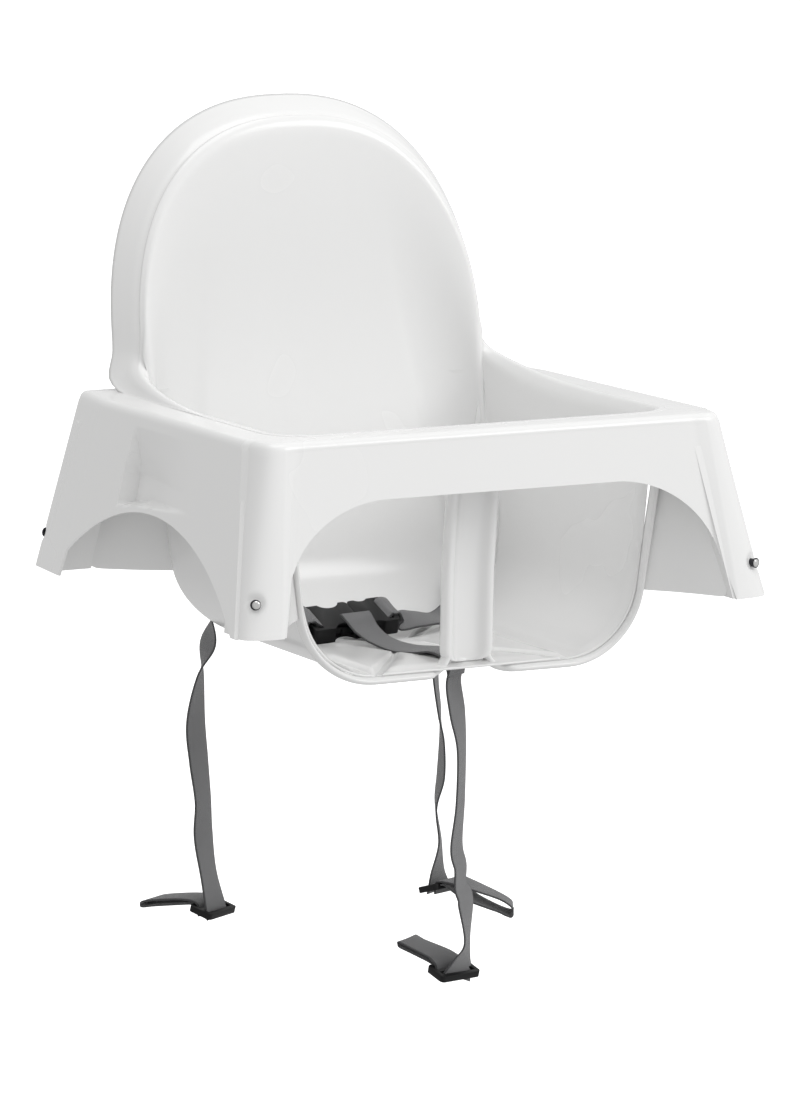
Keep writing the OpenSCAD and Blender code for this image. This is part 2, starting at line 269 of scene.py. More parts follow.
class NodeKit:
    """Shader node groups that more than one finish shares."""

    def __init__(self) -> None:
        """Build the groups once."""
        self.moulded = self._moulded()
        self.weave = self._weave()

    @staticmethod
    def _group(name: str, inputs: dict[str, float], outputs: Iterable[tuple[str, str]]) -> bpy.types.NodeTree:
        """Start a group with named sockets.

        Args:
            name: The group's name.
            inputs: Float inputs with their defaults.
            outputs: Names and socket types of the outputs.

        Returns:
            The new node tree.
        """
        tree = bpy.data.node_groups.new(name, "ShaderNodeTree")
        tree.interface.new_socket("Vector", in_out="INPUT", socket_type="NodeSocketVector")
        for label, value in inputs.items():
            socket = tree.interface.new_socket(label, in_out="INPUT", socket_type="NodeSocketFloat")
            socket.default_value = value
        for label, kind in outputs:
            tree.interface.new_socket(label, in_out="OUTPUT", socket_type=kind)
        return tree

    def _moulded(self) -> bpy.types.NodeTree:
        """Faint waves, fine grain and stray scuffs of a moulded plastic face.

        Returns:
            The node group.
        """
        tree = self._group(
            "moulded_face",
            {"Grain": 900.0, "Waves": 9.0, "Low": 0.25, "High": 0.35},
            (("Roughness", "NodeSocketFloat"), ("Height", "NodeSocketFloat")),
        )
        nodes, links = tree.nodes, tree.links
        source, sink = nodes.new("NodeGroupInput"), nodes.new("NodeGroupOutput")
        grain, waves, scuff = (nodes.new("ShaderNodeTexNoise") for _ in range(3))
        for noise, socket, detail in ((grain, "Grain", 2.0), (waves, "Waves", 3.0)):
            noise.inputs["Detail"].default_value = detail
            links.new(source.outputs["Vector"], noise.inputs["Vector"])
            links.new(source.outputs[socket], noise.inputs["Scale"])
        scuff.inputs["Scale"].default_value = 11.0
        scuff.inputs["Detail"].default_value = 2.0
        scuff.inputs["Roughness"].default_value = 0.5
        links.new(source.outputs["Vector"], scuff.inputs["Vector"])
        spread = nodes.new("ShaderNodeMapRange")
        links.new(scuff.outputs["Fac"], spread.inputs["Value"])
        spread.inputs["From Min"].default_value = 0.35
        spread.inputs["From Max"].default_value = 0.7
        links.new(source.outputs["Low"], spread.inputs["To Min"])
        links.new(source.outputs["High"], spread.inputs["To Max"])
        links.new(spread.outputs["Result"], sink.inputs["Roughness"])
        height = nodes.new("ShaderNodeMath")
        height.operation = "MULTIPLY_ADD"
        height.inputs[1].default_value = 0.04
        links.new(grain.outputs["Fac"], height.inputs[0])
        links.new(waves.outputs["Fac"], height.inputs[2])
        links.new(height.outputs[0], sink.inputs["Height"])
        return tree

    def _weave(self) -> bpy.types.NodeTree:
        """Cross ribs, lengthwise yarns and a mask along both edges of flat webbing, from a strip's own map.

        Returns:
            The node group.
        """
        tree = self._group(
            "webbing_weave",
            {"Ribs": 620.0, "Yarns": 34.0},
            (("Fac", "NodeSocketFloat"), ("Height", "NodeSocketFloat"), ("Edge", "NodeSocketFloat")),
        )
        nodes, links = tree.nodes, tree.links
        source, sink = nodes.new("NodeGroupInput"), nodes.new("NodeGroupOutput")
        split = nodes.new("ShaderNodeSeparateXYZ")
        links.new(source.outputs["Vector"], split.inputs[0])

        def math_node(operation: str, a: object, b: object) -> bpy.types.NodeSocket:
            """Add a Math node.

            Args:
                operation: The node's operation.
                a: First socket or number.
                b: Second socket or number, or None where there is none.

            Returns:
                The node's output.
            """
            node = nodes.new("ShaderNodeMath")
            node.operation = operation
            for k, value in enumerate((a, b)):
                if isinstance(value, bpy.types.NodeSocket):
                    links.new(value, node.inputs[k])
                elif value is not None:
                    node.inputs[k].default_value = value
            return node.outputs[0]

        across = math_node("MULTIPLY", split.outputs["X"], source.outputs["Yarns"])
        lean = math_node("PINGPONG", across, 1.0)
        run = math_node("MULTIPLY", split.outputs["Y"], source.outputs["Ribs"])
        twill = math_node("ADD", run, math_node("MULTIPLY", lean, 1.2))
        ribs = math_node("SINE", math_node("MULTIPLY", twill, TAU), None)
        yarns = math_node("SINE", math_node("MULTIPLY", across, TAU), None)
        both = math_node("ADD", math_node("MULTIPLY", ribs, 0.3), math_node("MULTIPLY", yarns, 0.2))
        height = math_node("ADD", both, 0.5)
        fuzz = nodes.new("ShaderNodeTexNoise")
        fuzz.inputs["Scale"].default_value = 260.0
        fuzz.inputs["Detail"].default_value = 3.0
        links.new(source.outputs["Vector"], fuzz.inputs["Vector"])
        woven, loose = math_node("MULTIPLY", height, 0.7), math_node("MULTIPLY", fuzz.outputs["Fac"], 0.3)
        fac = math_node("ADD", woven, loose)
        middle = math_node("ABSOLUTE", math_node("SUBTRACT", split.outputs["X"], 0.5), None)
        edge = math_node("GREATER_THAN", middle, 0.455)
        links.new(fac, sink.inputs["Fac"])
        links.new(height, sink.inputs["Height"])
        links.new(edge, sink.inputs["Edge"])
        return tree


@dataclass(frozen=True)
class Finish:
    """A surface with its constant values; subclasses add the pattern."""

    name: str
    colour: tuple[float, float, float]
    roughness: float
    slot: Slot

    def _start(self) -> tuple[bpy.types.Material, bpy.types.Node]:
        """Make the material with its constant values.

        Returns:
            The material and its shader.
        """
        material = bpy.data.materials.new(self.name)
        material.use_nodes = True
        shader = material.node_tree.nodes["Principled BSDF"]
        shader.inputs["Base Color"].default_value = (*self.colour, 1.0)
        shader.inputs["Roughness"].default_value = self.roughness
        return material, shader

    @staticmethod
    def _bump(material: bpy.types.Material, shader: bpy.types.Node, height: bpy.types.NodeSocket,
              strength: float, distance: float) -> None:
        """Feed a height into the shader's normal.

        Args:
            material: The material being made.
            shader: Its shader.
            height: The height socket.
            strength: How strongly it shows.
            distance: Height of the relief in metres.
        """
        bump = material.node_tree.nodes.new("ShaderNodeBump")
        bump.inputs["Strength"].default_value = strength
        bump.inputs["Distance"].default_value = distance
        material.node_tree.links.new(height, bump.inputs["Height"])
        material.node_tree.links.new(bump.outputs["Normal"], shader.inputs["Normal"])


@dataclass(frozen=True)
class MouldedFinish(Finish):
    """Moulded plastic with a faint grain."""

    spread: float = 0.08
    grain: float = 900.0
    waves: float = 9.0
    relief: float = 0.00012
    coat: float = 0.0
    tint: float = 0.03
    specular: float = 0.5

    def make(self, kit: NodeKit) -> bpy.types.Material:
        """Build the material.

        Args:
            kit: The shared node groups.

        Returns:
            The finished material.
        """
        material, shader = self._start()
        nodes, links = material.node_tree.nodes, material.node_tree.links
        place = nodes.new("ShaderNodeTexCoord")
        face = nodes.new("ShaderNodeGroup")
        face.node_tree = kit.moulded
        face.inputs["Grain"].default_value = self.grain
        face.inputs["Waves"].default_value = self.waves
        face.inputs["Low"].default_value = self.roughness
        face.inputs["High"].default_value = self.roughness + self.spread
        links.new(place.outputs["Object"], face.inputs["Vector"])
        links.new(face.outputs["Roughness"], shader.inputs["Roughness"])
        shader.inputs["Specular IOR Level"].default_value = self.specular
        shader.inputs["Coat Weight"].default_value = self.coat
        shader.inputs["Coat Roughness"].default_value = 0.12
        cloud = nodes.new("ShaderNodeTexNoise")
        cloud.inputs["Scale"].default_value = 5.0
        links.new(place.outputs["Object"], cloud.inputs["Vector"])
        ramp = nodes.new("ShaderNodeMix")
        ramp.data_type = "RGBA"
        low = tuple(c * (1.0 - self.tint) for c in self.colour)
        ramp.inputs["A"].default_value = (*low, 1.0)
        ramp.inputs["B"].default_value = (*self.colour, 1.0)
        links.new(cloud.outputs["Fac"], ramp.inputs["Factor"])
        links.new(ramp.outputs["Result"], shader.inputs["Base Color"])
        self._bump(material, shader, face.outputs["Height"], 0.25, self.relief)
        return material


@dataclass(frozen=True)
class WebbingFinish(Finish):
    """Woven flat webbing, darker along both edges."""

    dark: tuple[float, float, float] = (0.05, 0.05, 0.053)

    def make(self, kit: NodeKit) -> bpy.types.Material:
        """Build the material.

        Args:
            kit: The shared node groups.

        Returns:
            The finished material.
        """
        material, shader = self._start()
        nodes, links = material.node_tree.nodes, material.node_tree.links
        place = nodes.new("ShaderNodeUVMap")
        place.uv_map = "strip"
        weave = nodes.new("ShaderNodeGroup")
        weave.node_tree = kit.weave
        links.new(place.outputs["UV"], weave.inputs["Vector"])
        yarn, edge = nodes.new("ShaderNodeMix"), nodes.new("ShaderNodeMix")
        yarn.data_type = edge.data_type = "RGBA"
        yarn.inputs["A"].default_value = (*self.dark, 1.0)
        yarn.inputs["B"].default_value = (*self.colour, 1.0)
        links.new(weave.outputs["Fac"], yarn.inputs["Factor"])
        links.new(yarn.outputs["Result"], edge.inputs["A"])
        edge.inputs["B"].default_value = (*self.dark, 1.0)
        links.new(weave.outputs["Edge"], edge.inputs["Factor"])
        links.new(edge.outputs["Result"], shader.inputs["Base Color"])
        shader.inputs["Sheen Weight"].default_value = 0.35
        shader.inputs["Sheen Roughness"].default_value = 0.4
        self._bump(material, shader, weave.outputs["Height"], 0.6, 0.0004)
        return material


@dataclass(frozen=True)
class SteelFinish(Finish):
    """Turned steel with fine scratches."""

    def make(self, kit: NodeKit) -> bpy.types.Material:
        """Build the material.

        Args:
            kit: The shared node groups.

        Returns:
            The finished material.
        """
        material, shader = self._start()
        nodes, links = material.node_tree.nodes, material.node_tree.links
        shader.inputs["Metallic"].default_value = 1.0
        place = nodes.new("ShaderNodeTexCoord")
        face = nodes.new("ShaderNodeGroup")
        face.node_tree = kit.moulded
        face.inputs["Grain"].default_value = 2500.0
        face.inputs["Waves"].default_value = 400.0
        face.inputs["Low"].default_value = self.roughness
        face.inputs["High"].default_value = self.roughness + 0.15
        links.new(place.outputs["Object"], face.inputs["Vector"])
        links.new(face.outputs["Roughness"], shader.inputs["Roughness"])
        self._bump(material, shader, face.outputs["Height"], 0.2, 0.00005)
        return material


@dataclass
class Finishes:
    """Every material of the seat."""

    kit: NodeKit = field(default_factory=NodeKit)
    made: dict[str, bpy.types.Material] = field(default_factory=dict)

    def dress(self, obj: bpy.types.Object, finish: Finish) -> bpy.types.Object:
        """Give obj a finish.

        Args:
            obj: The piece.
            finish: The finish it takes.

        Returns:
            The same piece.
        """
        if finish.name not in self.made:
            self.made[finish.name] = finish.make(self.kit)
        obj.data.materials.clear()
        obj.data.materials.append(self.made[finish.name])
        for face in obj.data.polygons:
            face.material_index = 0
        return obj


SHELL_WHITE = MouldedFinish(
    "shell_white", (0.83, 0.83, 0.825), 0.2, Slot.SHELL, relief=0.0006, waves=14.0, coat=0.3
)
BUCKLE_BLACK = MouldedFinish(
    "buckle_black", (0.006, 0.006, 0.0065), 0.42, Slot.BUCKLE, grain=1500.0, waves=60.0, specular=0.22
)
WEBBING_GREY = WebbingFinish("webbing_grey", (0.26, 0.26, 0.265), 0.75, Slot.WEBBING)
PIN_STEEL = SteelFinish("pin_steel", (0.62, 0.62, 0.61), 0.18, Slot.STEEL)
# Dark steel for the button springs; on the rings round the buttons it is painted shade for the shadow gap.
PIN_DARK_STEEL_AND_SHADE = SteelFinish("pin_dark", (0.05, 0.05, 0.055), 0.3, Slot.STEEL)


# ---------------------------------------------------------------- the shell


@dataclass
class ShellSizes:
    """Driving sizes of the moulded shell, in millimetres; some are read off the frame."""

    rim_h: float = 125.0
    half_w: float = 175.0
    half_d: float = 156.0
    splay: float = 24.0
    wall: float = 3.0
    seat_z: float = -43.0
    seat_half: float = 126.0
    tub_half: float = 143.0
    back_top: float = 320.0

    @classmethod
    def from_frame(cls) -> "ShellSizes":
        """Read the outer sizes off the frame's own solids.

        Returns:
            The sizes.
        """
        sizes = cls()
        _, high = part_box("rim_frame")
        sizes.rim_h = high.z / MM
        sizes.half_w = high.x / MM - sizes.splay
        sizes.half_d = high.y / MM - sizes.splay
        sizes.back_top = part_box("seat_tub")[1].z / MM
        return sizes


@dataclass
class Tub:
    """The bucket with its backrest: one sheet lofted upwards, then given a wall."""

    size: ShellSizes
    front_y: float = -122.0
    front_lean: float = -0.064
    rear_y: float = 113.0
    rear_lean: float = 0.2
    side_fillet: float = 46.0
    rear_fillet: float = 46.0
    rear_corner: float = 70.0
    low_corner: float = 26.0
    bulge: float = 12.0
    join_z: float = 20.0
    edge_r: float = 5.0
    arch_half: float = 130.0
    arch_power: float = 2.35
    arch_y: float = 120.0
    arch_foot: float = 25.0
    flange_out: float = 11.0
    flange_back: float = 28.0
    opening_top: float = 84.0
    post_half: float = 17.0
    counts: tuple[int, ...] = (6, 8, 16, 28, 6)
    rise_steps: int = 12

    @staticmethod
    def fillet(h: float, r: float) -> float:
        """How far a wall pulls in at height h above a floor with fillet r."""
        return 0.0 if h >= r else r - math.sqrt(r * r - (r - h) ** 2)

    def half(self, z: float) -> float:
        """Half the inside width at height z."""
        lean = (self.size.tub_half - self.size.seat_half) / self.size.rim_h
        return self.size.seat_half + lean * z

    def level(self, z: float, grow: float = 0.0) -> list[Vector]:
        """Trace the right half of the level outline at height z, front centre to rear centre.

        Args:
            z: Height in millimetres.
            grow: How far outside the inner face.

        Returns:
            One point for each station of the half ring.
        """
        h = z - self.size.seat_z + grow
        side = self.half(z) + grow - self.fillet(h, self.side_fillet + grow)
        front = self.front_y + self.front_lean * max(z, 0.0) - grow
        rear = self.rear_y + self.rear_lean * z + grow - self.fillet(h, self.rear_fillet + grow)
        rf = 4.0 + 21.0 * smooth(z, 84.0, 125.0) + grow
        rr = self.low_corner + (self.rear_corner - self.low_corner) * smooth(z, 5.0, 95.0)
        rr = max(8.0, rr + grow - 0.4 * self.fillet(h, self.rear_fillet))
        nf, nc, ns, nr, nb = self.counts
        points = [Vector((side - rf, 0, 0)) * (k / nf) + Vector((0, front, z)) for k in range(nf)]
        for k in range(nc):
            a = math.radians(-90 + 90 * k / nc)
            points.append(Vector((side - rf + rf * math.cos(a), front + rf + rf * math.sin(a), z)))
        for k in range(ns):
            points.append(Vector((side, front + rf + (rear - rr - front - rf) * k / ns, z)))
        for k in range(nr):
            a = math.radians(90 * k / nr)
            points.append(Vector((side - rr + rr * math.cos(a), rear - rr + rr * math.sin(a), z)))
        points += [Vector(((side - rr) * (1 - k / nb), rear, z)) for k in range(nb + 1)]
        return points

    def arch_point(self, share: float, grow: float = 0.0) -> Vector:
        """Point on the backrest's front edge, or grown outwards and back to the flange's rear edge.

        Args:
            share: 0 where the arch springs, 1 at its top.
            grow: 0 on the front edge, 1 on the flange's rear edge.

        Returns:
            The point, on the right-hand side.
        """
        foot = self.size.rim_h + self.arch_foot
        top = self.size.back_top - foot - self.flange_out * 1.25 * (1 - grow)
        half = self.arch_half + self.flange_out * grow
        x = half * math.cos(math.pi / 2 * share) ** (2 / self.arch_power) if share < 1 else 0.0
        z = foot + top * math.sin(math.pi / 2 * share) ** (2 / self.arch_power)
        back = self.arch_y + self.rear_lean * (z - self.size.rim_h)
        return Vector((x, back + self.flange_back * grow, z))

    def edge(self) -> list[Vector]:
        """Trace the right half of the tub's top edge: level, then up round the backrest.

        Returns:
            One point for each station of the half ring.
        """
        low = self.level(self.size.rim_h)
        start = sum(self.counts[:2]) + self.counts[2] // 2
        left = len(low) - start - 1
        foot = low[start]
        points = low[: start + 1]
        spring = self.arch_point(0.0)
        for k in range(1, left + 1):
            if k <= self.rise_steps:
                a = math.pi / 2 * k / self.rise_steps
                points.append(
                    Vector(
                        (
                            spring.x + (foot.x - spring.x) * math.cos(a),
                            foot.y + (spring.y + 4 - foot.y) * math.sin(a),
                            self.size.rim_h + self.arch_foot * (1 - math.cos(a)),
                        )
                    )
                )
            else:
                points.append(self.arch_point((k - self.rise_steps) / (left - self.rise_steps)))
        return points

    def rise(self, point: Vector) -> float:
        """How much of the way from rim to backrest an edge point has gone."""
        return smooth(point.z, self.size.rim_h + 0.5, self.size.rim_h + self.arch_foot * 1.3)

    def strip_end(self, i: int, edge: list[Vector]) -> Vector:
        """Outer end of the strip that leaves the edge: a lip on the rim, a flange on the backrest.

        Args:
            i: The station.
            edge: The tub's top edge.

        Returns:
            The strip's outer end at that station.
        """
        start = sum(self.counts[:2]) + self.counts[2] // 2
        left = len(edge) - start - 1
        e = edge[i]
        if i <= start:
            out = self.level(self.size.rim_h, self.edge_r + 3.0)[i]
            return Vector((out.x, out.y, self.size.rim_h - 0.12))
        k = i - start
        if k > self.rise_steps:
            return self.arch_point((k - self.rise_steps) / (left - self.rise_steps), 1.0)
        turn = min(1.0, k / (self.rise_steps - 2))
        spring = self.arch_point(0.0, 1.0)
        lift = smooth(k, self.rise_steps - 3, self.rise_steps)
        foot = edge[start]
        x = foot.x + self.edge_r + 3.0 - 3.5 * turn**2
        y = foot.y + (spring.y + 1.0 - foot.y) * turn**1.2
        return Vector(
            (
                x + (spring.x - x) * lift,
                y,
                self.size.rim_h - 0.12 - 1.5 * smooth(k, 0, 4) * (1 - lift)
                + (spring.z - self.size.rim_h) * lift,
            )
        )

    def half_rings(self) -> list[list[Vector]]:
        """All half rings, from the middle of the floor up and over the edge.

        Returns:
            The rings, each from the front centre to the rear centre.
        """
        floor = self.level(self.size.seat_z)
        centre = Vector((0, -10, self.size.seat_z))
        rings = [[mix(centre, p, s) for p in floor] for s in (0.05, 0.45, 0.85, 0.965, 0.99, 1.0)]
        heights = (0.06, 0.25, 0.6, 1.2, 2.2, 4.5, 8, 12.5, 18, 25, 33, 42, 52)
        rings += [self.level(self.size.seat_z + h) for h in heights]
        low, edge = self.level(self.join_z), self.edge()
        for s in [k / 10 for k in range(11)]:
            ring = []
            for i, (a, b) in enumerate(zip(low, edge)):
                w = smooth(i, 30, 54)
                drop = Vector((0, 0, self.edge_r)) * (1 - self.rise(b))
                point = mix(a, b - drop, s)
                ring.append(point + Vector((0, self.bulge * math.sin(math.pi * s) ** 2 * w, 0)))
            rings.append(ring)
        ends = [self.strip_end(i, edge) for i in range(len(edge))]
        outs = [self.level(self.size.rim_h, 1.0)[i] - self.level(self.size.rim_h)[i] for i in range(len(edge))]
        for a in (20, 40, 60, 80, 100):
            ring = []
            for i, e in enumerate(edge):
                w = self.rise(e)
                out = Vector((outs[i].x, outs[i].y, 0)).normalized()
                t = math.radians(min(a, 90))
                flat = e - Vector((0, 0, self.edge_r)) + out * self.edge_r * (1 - math.cos(t))
                flat += Vector((0, 0, self.edge_r * math.sin(t)))
                across = (ends[i] - e).normalized()
                front = Vector((0, -1, 0)) - across * Vector((0, -1, 0)).dot(across)
                bead = e + across * (4.0 * (a / 100)) + front.normalized() * 2.0 * math.sin(math.pi * a / 100)
                ring.append(mix(flat, bead, w))
            rings.append(ring)
        last = rings[-1]
        for s in (0.2, 0.4, 0.6, 0.8, 1.0):
            ring = []
            for a, b in zip(last, ends):
                lift = smooth(b.z, self.size.rim_h, self.size.rim_h + self.arch_foot)
                mid = mix(a, b, 0.4)
                mid.z += (min(b.z, mid.z) - mid.z) * (1 - lift)
                ring.append(a * (1 - s) ** 2 + mid * (2 * s * (1 - s)) + b * s**2)
            rings.append(ring)
        return rings

    def build(self) -> bpy.types.Object:
        """Loft the sheet, cut the leg openings and give it a wall.

        Returns:
            The finished shell.
        """
        rings = []
        for half in self.half_rings():
            other = [Vector((-p.x, p.y, p.z)) for p in half[-2:0:-1]]
            rings.append(half + other)
        bm = bmesh.new()
        rows = loft(bm, rings, closed=True)
        bm.faces.new(rows[0])
        inside = [v for row in rows[-20:-10] for v in row if v.co.y > -100]
        for _ in range(5):
            bmesh.ops.smooth_vert(
                bm, verts=inside, factor=0.5, use_axis_x=True, use_axis_y=True, use_axis_z=True
            )
        bmesh.ops.recalc_face_normals(bm, faces=bm.faces)
        obj = finish_mesh(bm, "seat_shell", turn=False)
        subdivide(obj, 1)
        settle(obj)
        self.cut_front(obj)
        thicken(obj, self.size.wall, 1.0)
        settle(obj)
        obj.data.shade_smooth()
        return obj

    def cut_front(self, obj: bpy.types.Object) -> None:
        """Open the front of the sheet below the bar, where the legs go.

        Args:
            obj: The sheet, which is changed.
        """
        bm = bmesh.new()
        bm.from_mesh(obj.data)
        for spot, normal in (((0, FRONT_CUT * MM, 0), (0, 1, 0)), ((0, 0, self.opening_top * MM), (0, 0, 1))):
            near = [f for f in bm.faces if f.calc_center_median().y < -0.09]
            geom = near + list({e for f in near for e in f.edges}) + list({v for f in near for v in f.verts})
            bmesh.ops.bisect_plane(bm, geom=geom, plane_co=spot, plane_no=normal)
        middles = {f: f.calc_center_median() for f in bm.faces}
        cut = [f for f, m in middles.items() if m.y < FRONT_CUT * MM and m.z < self.opening_top * MM]
        bmesh.ops.delete(bm, geom=cut, context="FACES")
        bm.to_mesh(obj.data)
        bm.free()


@dataclass
class Lips:
    """Rolled lips round the leg openings and the post between them."""

    size: ShellSizes
    tub: Tub

    def route(self) -> list[tuple[Vector, Vector, float, float]]:
        """Walk round the right opening: down the side, across the floor, up the post.

        Returns:
            Centre, outward direction, half height and half depth of the lip at each station.
        """
        out = []
        r, seat = self.tub.side_fillet, self.size.seat_z
        inner_r = 12.0
        for k in range(15):
            z = 100 - (100 - seat - r) * k / 14
            spot = Vector((self.tub.half(z), FRONT_CUT - 0.055 * max(z, 0.0), z))
            out.append((spot, Vector((1, 0, 0.0)), 2.2, 5.5))
        for k in range(1, 14):
            a = math.radians(90 * k / 14)
            z = seat + r * (1 - math.sin(a))
            d = Vector((math.cos(a), 0, -math.sin(a)))
            spot = Vector((self.tub.half(z) - r + r * math.cos(a), FRONT_CUT + 1.5 * k / 14, z))
            out.append((spot, d, 2.2 + 0.6 * k / 14, 5.5 + k / 14))
        x0 = self.tub.half(seat) - r
        x1 = self.tub.post_half + inner_r
        for k in range(7):
            spot = Vector((x0 + (x1 - x0) * k / 6, -116.5 + 1.5 * k / 6, seat))
            out.append((spot, Vector((0, 0, -1)), 2.8, 6.5))
        for k in range(1, 8):
            a = math.radians(90 * k / 8)
            d = Vector((-math.sin(a), 0, -math.cos(a)))
            centre = Vector((x1, self.post_y(seat) + 3, seat + inner_r))
            out.append((centre + d * inner_r, d, 2.8, 6.5 - 1.5 * k / 8))
        for k in range(14):
            z = seat + inner_r + (100 - seat - inner_r) * k / 13
            out.append((Vector((self.tub.post_half, self.post_y(z) + 3, z)), Vector((-1, 0, 0)), 2.6, 4.6))
        return out

    def post_y(self, z: float) -> float:
        """Front face of the post at height z."""
        return along(((-50, -111.0), (-38, -112.0), (23, -115.0), (50, -118.5), (77, -122.5), (110, -128.0)), z)

    def build(self) -> list[bpy.types.Object]:
        """Sweep the lip round each opening and fill in the post.

        Returns:
            Both lips and the post.
        """
        made = []
        for side, name in ((1, "right"), (-1, "left")):
            rings = []
            for centre, out, high, deep in self.route():
                ring = []
                for k in range(16):
                    a = 2 * math.pi * k / 16
                    p = centre + out * high + out * high * math.cos(a) + Vector((0, deep * math.sin(a), 0))
                    ring.append(Vector((side * p.x, p.y, p.z)))
                rings.append(ring)
            bm = bmesh.new()
            close_ends(bm, loft(bm, rings, closed=True))
            obj = finish_mesh(bm, f"leg_opening_lip_{name}")
            subdivide(obj, 1)
            made.append(settle(obj))
        made.append(self._post())
        return made

    def _post(self) -> bpy.types.Object:
        """The post's hollow face between its two lips.

        Returns:
            The post.
        """
        half = self.tub.post_half
        rings = []
        for k in range(15):
            z = self.size.seat_z + 3 + (104 - self.size.seat_z - 3) * k / 14
            y = self.post_y(z)
            side = [(2.0, 9.0), (2.4, 3.0), (1.4, -0.8), (-1.2, -2.4), (-4.0, -1.4), (-6.5, 1.8), (-9.5, 4.2)]
            shape = [(-half - a, y + b) for a, b in side] + [(0, y + 5.0)]
            shape += [(half + a, y + b) for a, b in reversed(side)] + [(0, y + 9.5)]
            rings.append([Vector((x, yy, z)) for x, yy in shape])
        bm = bmesh.new()
        close_ends(bm, loft(bm, rings, closed=True))
        obj = finish_mesh(bm, "crotch_post")
        subdivide(obj, 2)
        return settle(obj)


@dataclass
class Skirt:
    """Rim top, flared skirts and corner columns, drawn as one outline that changes with height."""

    size: ShellSizes
    tub: Tub
    edge_r: float = 6.0
    side_r: float = 221.0
    side_top: float = 60.0
    side_mid: float = -9.0
    front_top: float = 84.0
    front_flat: float = 85.0
    front_axes: tuple[float, float] = (78.0, 69.0)
    column_step: float = 2.4
    recess_depth: float = 12.0
    bore_in: tuple[float, float] = (16.0, 19.0)
    bore_r: float = 12.9
    rows: int = 62
    counts: tuple[int, ...] = (40, 26, 92, 14, 12, 32)

    # outline parts -------------------------------------------------

    def border_x(self, t: float) -> float:
        """Where the front skirt meets the column."""
        return 153.6 + 13.2 * t

    def panel_y(self, t: float) -> float:
        """Front face of the bar and skirt."""
        return -(self.size.half_d + 1.0 + 19.0 * t)

    def ridge(self, t: float) -> Vector:
        """The crease where a front column meets the side skirt."""
        return Vector((self.size.half_w + self.size.splay * t, -(self.size.half_d - 24.0 + 35.0 * t), 0))

    def rear_ridge(self, t: float) -> Vector:
        """The crease where the side skirt meets the rear column."""
        return Vector((self.size.half_w + self.size.splay * t, self.size.half_d - 56.0 + 26.0 * t, 0))

    def side_arch(self, y: float) -> float:
        """Height of the side arch's edge."""
        inside = self.side_r**2 - (y - self.side_mid) ** 2
        return max(0.0, self.side_top - self.side_r + math.sqrt(max(inside, 0.0)))

    def front_arch(self, x: float) -> float:
        """Height of the front and rear arches' edge.

        Args:
            x: Place along the skirt.

        Returns:
            The height there.
        """
        a, b = self.front_axes
        over = max(0.0, abs(x) - self.front_flat)
        return self.front_top - b + b * math.sqrt(max(0.0, 1 - min(1.0, over / a) ** 2))

    def recess(self, y: float, z: float) -> float:
        """Depth of the three-cornered hollow in a side skirt.

        Args:
            y: Place along the skirt.
            z: Height.

        Returns:
            How far the face is pressed in.
        """
        floor = along(((-62, 67.0), (-7, 64.0), (19, 62.5), (43, 59.5)), y)
        rear = along(((61.0, 46.0), (77.0, 45.0), (114.0, 38.0)), z)
        press = smooth(z, floor - 0.2, floor + 2.5) * (1 - smooth(y, rear - 1.5, rear + 0.6))
        taper = min(1.0, max(0.0, (114.0 - z) / 34.0))
        forward = 1 - smooth(y, -70.0, 34.0)
        return self.recess_depth * press * taper * (1 - forward)

    def outline(self, part: int, share: float, t: float) -> Vector:
        """Point of the right half outline.

        Args:
            part: Which stretch, from the front centre to the rear centre.
            share: How far along that stretch.
            t: 0 at the rim, 1 at the socket mouths.

        Returns:
            The point, without its height.
        """
        s, bx, py = self.size, self.border_x(t), self.panel_y(t)
        ridge, rear = self.ridge(t), self.rear_ridge(t)
        if part == 0:
            return Vector((bx * share, py, 0))
        if part == 1:
            a = ridge.x - self.column_step - bx
            b = ridge.y + s.half_d + 2.2 + s.splay * t * 0.96
            power = 3.0 - 0.5 * t
            c, d = math.sin(math.pi / 2 * share), math.cos(math.pi / 2 * share)
            return Vector((bx + 0.6 + (a - 0.6) * c ** (2 / power), ridge.y - b * max(d, 0.0) ** (2 / power), 0))
        if part == 2:
            return mix(ridge, rear, share)
        corner_x = s.half_w - 6.5 + (s.splay + 3.0) * t
        corner_y = s.half_d + s.splay * t
        r = 5.0 + 2.0 * t
        end = Vector((corner_x, corner_y - r, 0))
        if part == 3:
            return mix(rear, end, share)
        if part == 4:
            a = math.pi / 2 * share
            return Vector((corner_x - r + r * math.cos(a), corner_y - r + r * math.sin(a), 0))
        return Vector(((corner_x - r) * (1 - share), corner_y, 0))

    def low_edge(self, part: int, share: float) -> float:
        """Height where the skirt ends at this place along the outline.

        Args:
            part: Which stretch of the outline.
            share: How far along that stretch.

        Returns:
            The height there.
        """
        z = 0.0
        for _ in range(30):
            p = self.outline(part, share, 1 - z / self.size.rim_h)
            if part == 2:
                z = self.side_arch(p.y)
            elif part == 0:
                z = self.front_arch(p.x)
            elif part == 5:
                z = self.front_arch(p.x) if abs(p.x) < self.front_flat + self.front_axes[0] else 0.0
        return z

    def stations(self) -> list[tuple[int, float]]:
        """Every place along the right half outline.

        Returns:
            Pairs of stretch and share.
        """
        places = []
        for part, count in enumerate(self.counts):
            for k in range(count):
                share = k / count
                if part == 1:
                    share = (k + 0.5) / count
                places.append((part, share))
        places.append((5, 1.0))
        return places

    # meshes --------------------------------------------------------

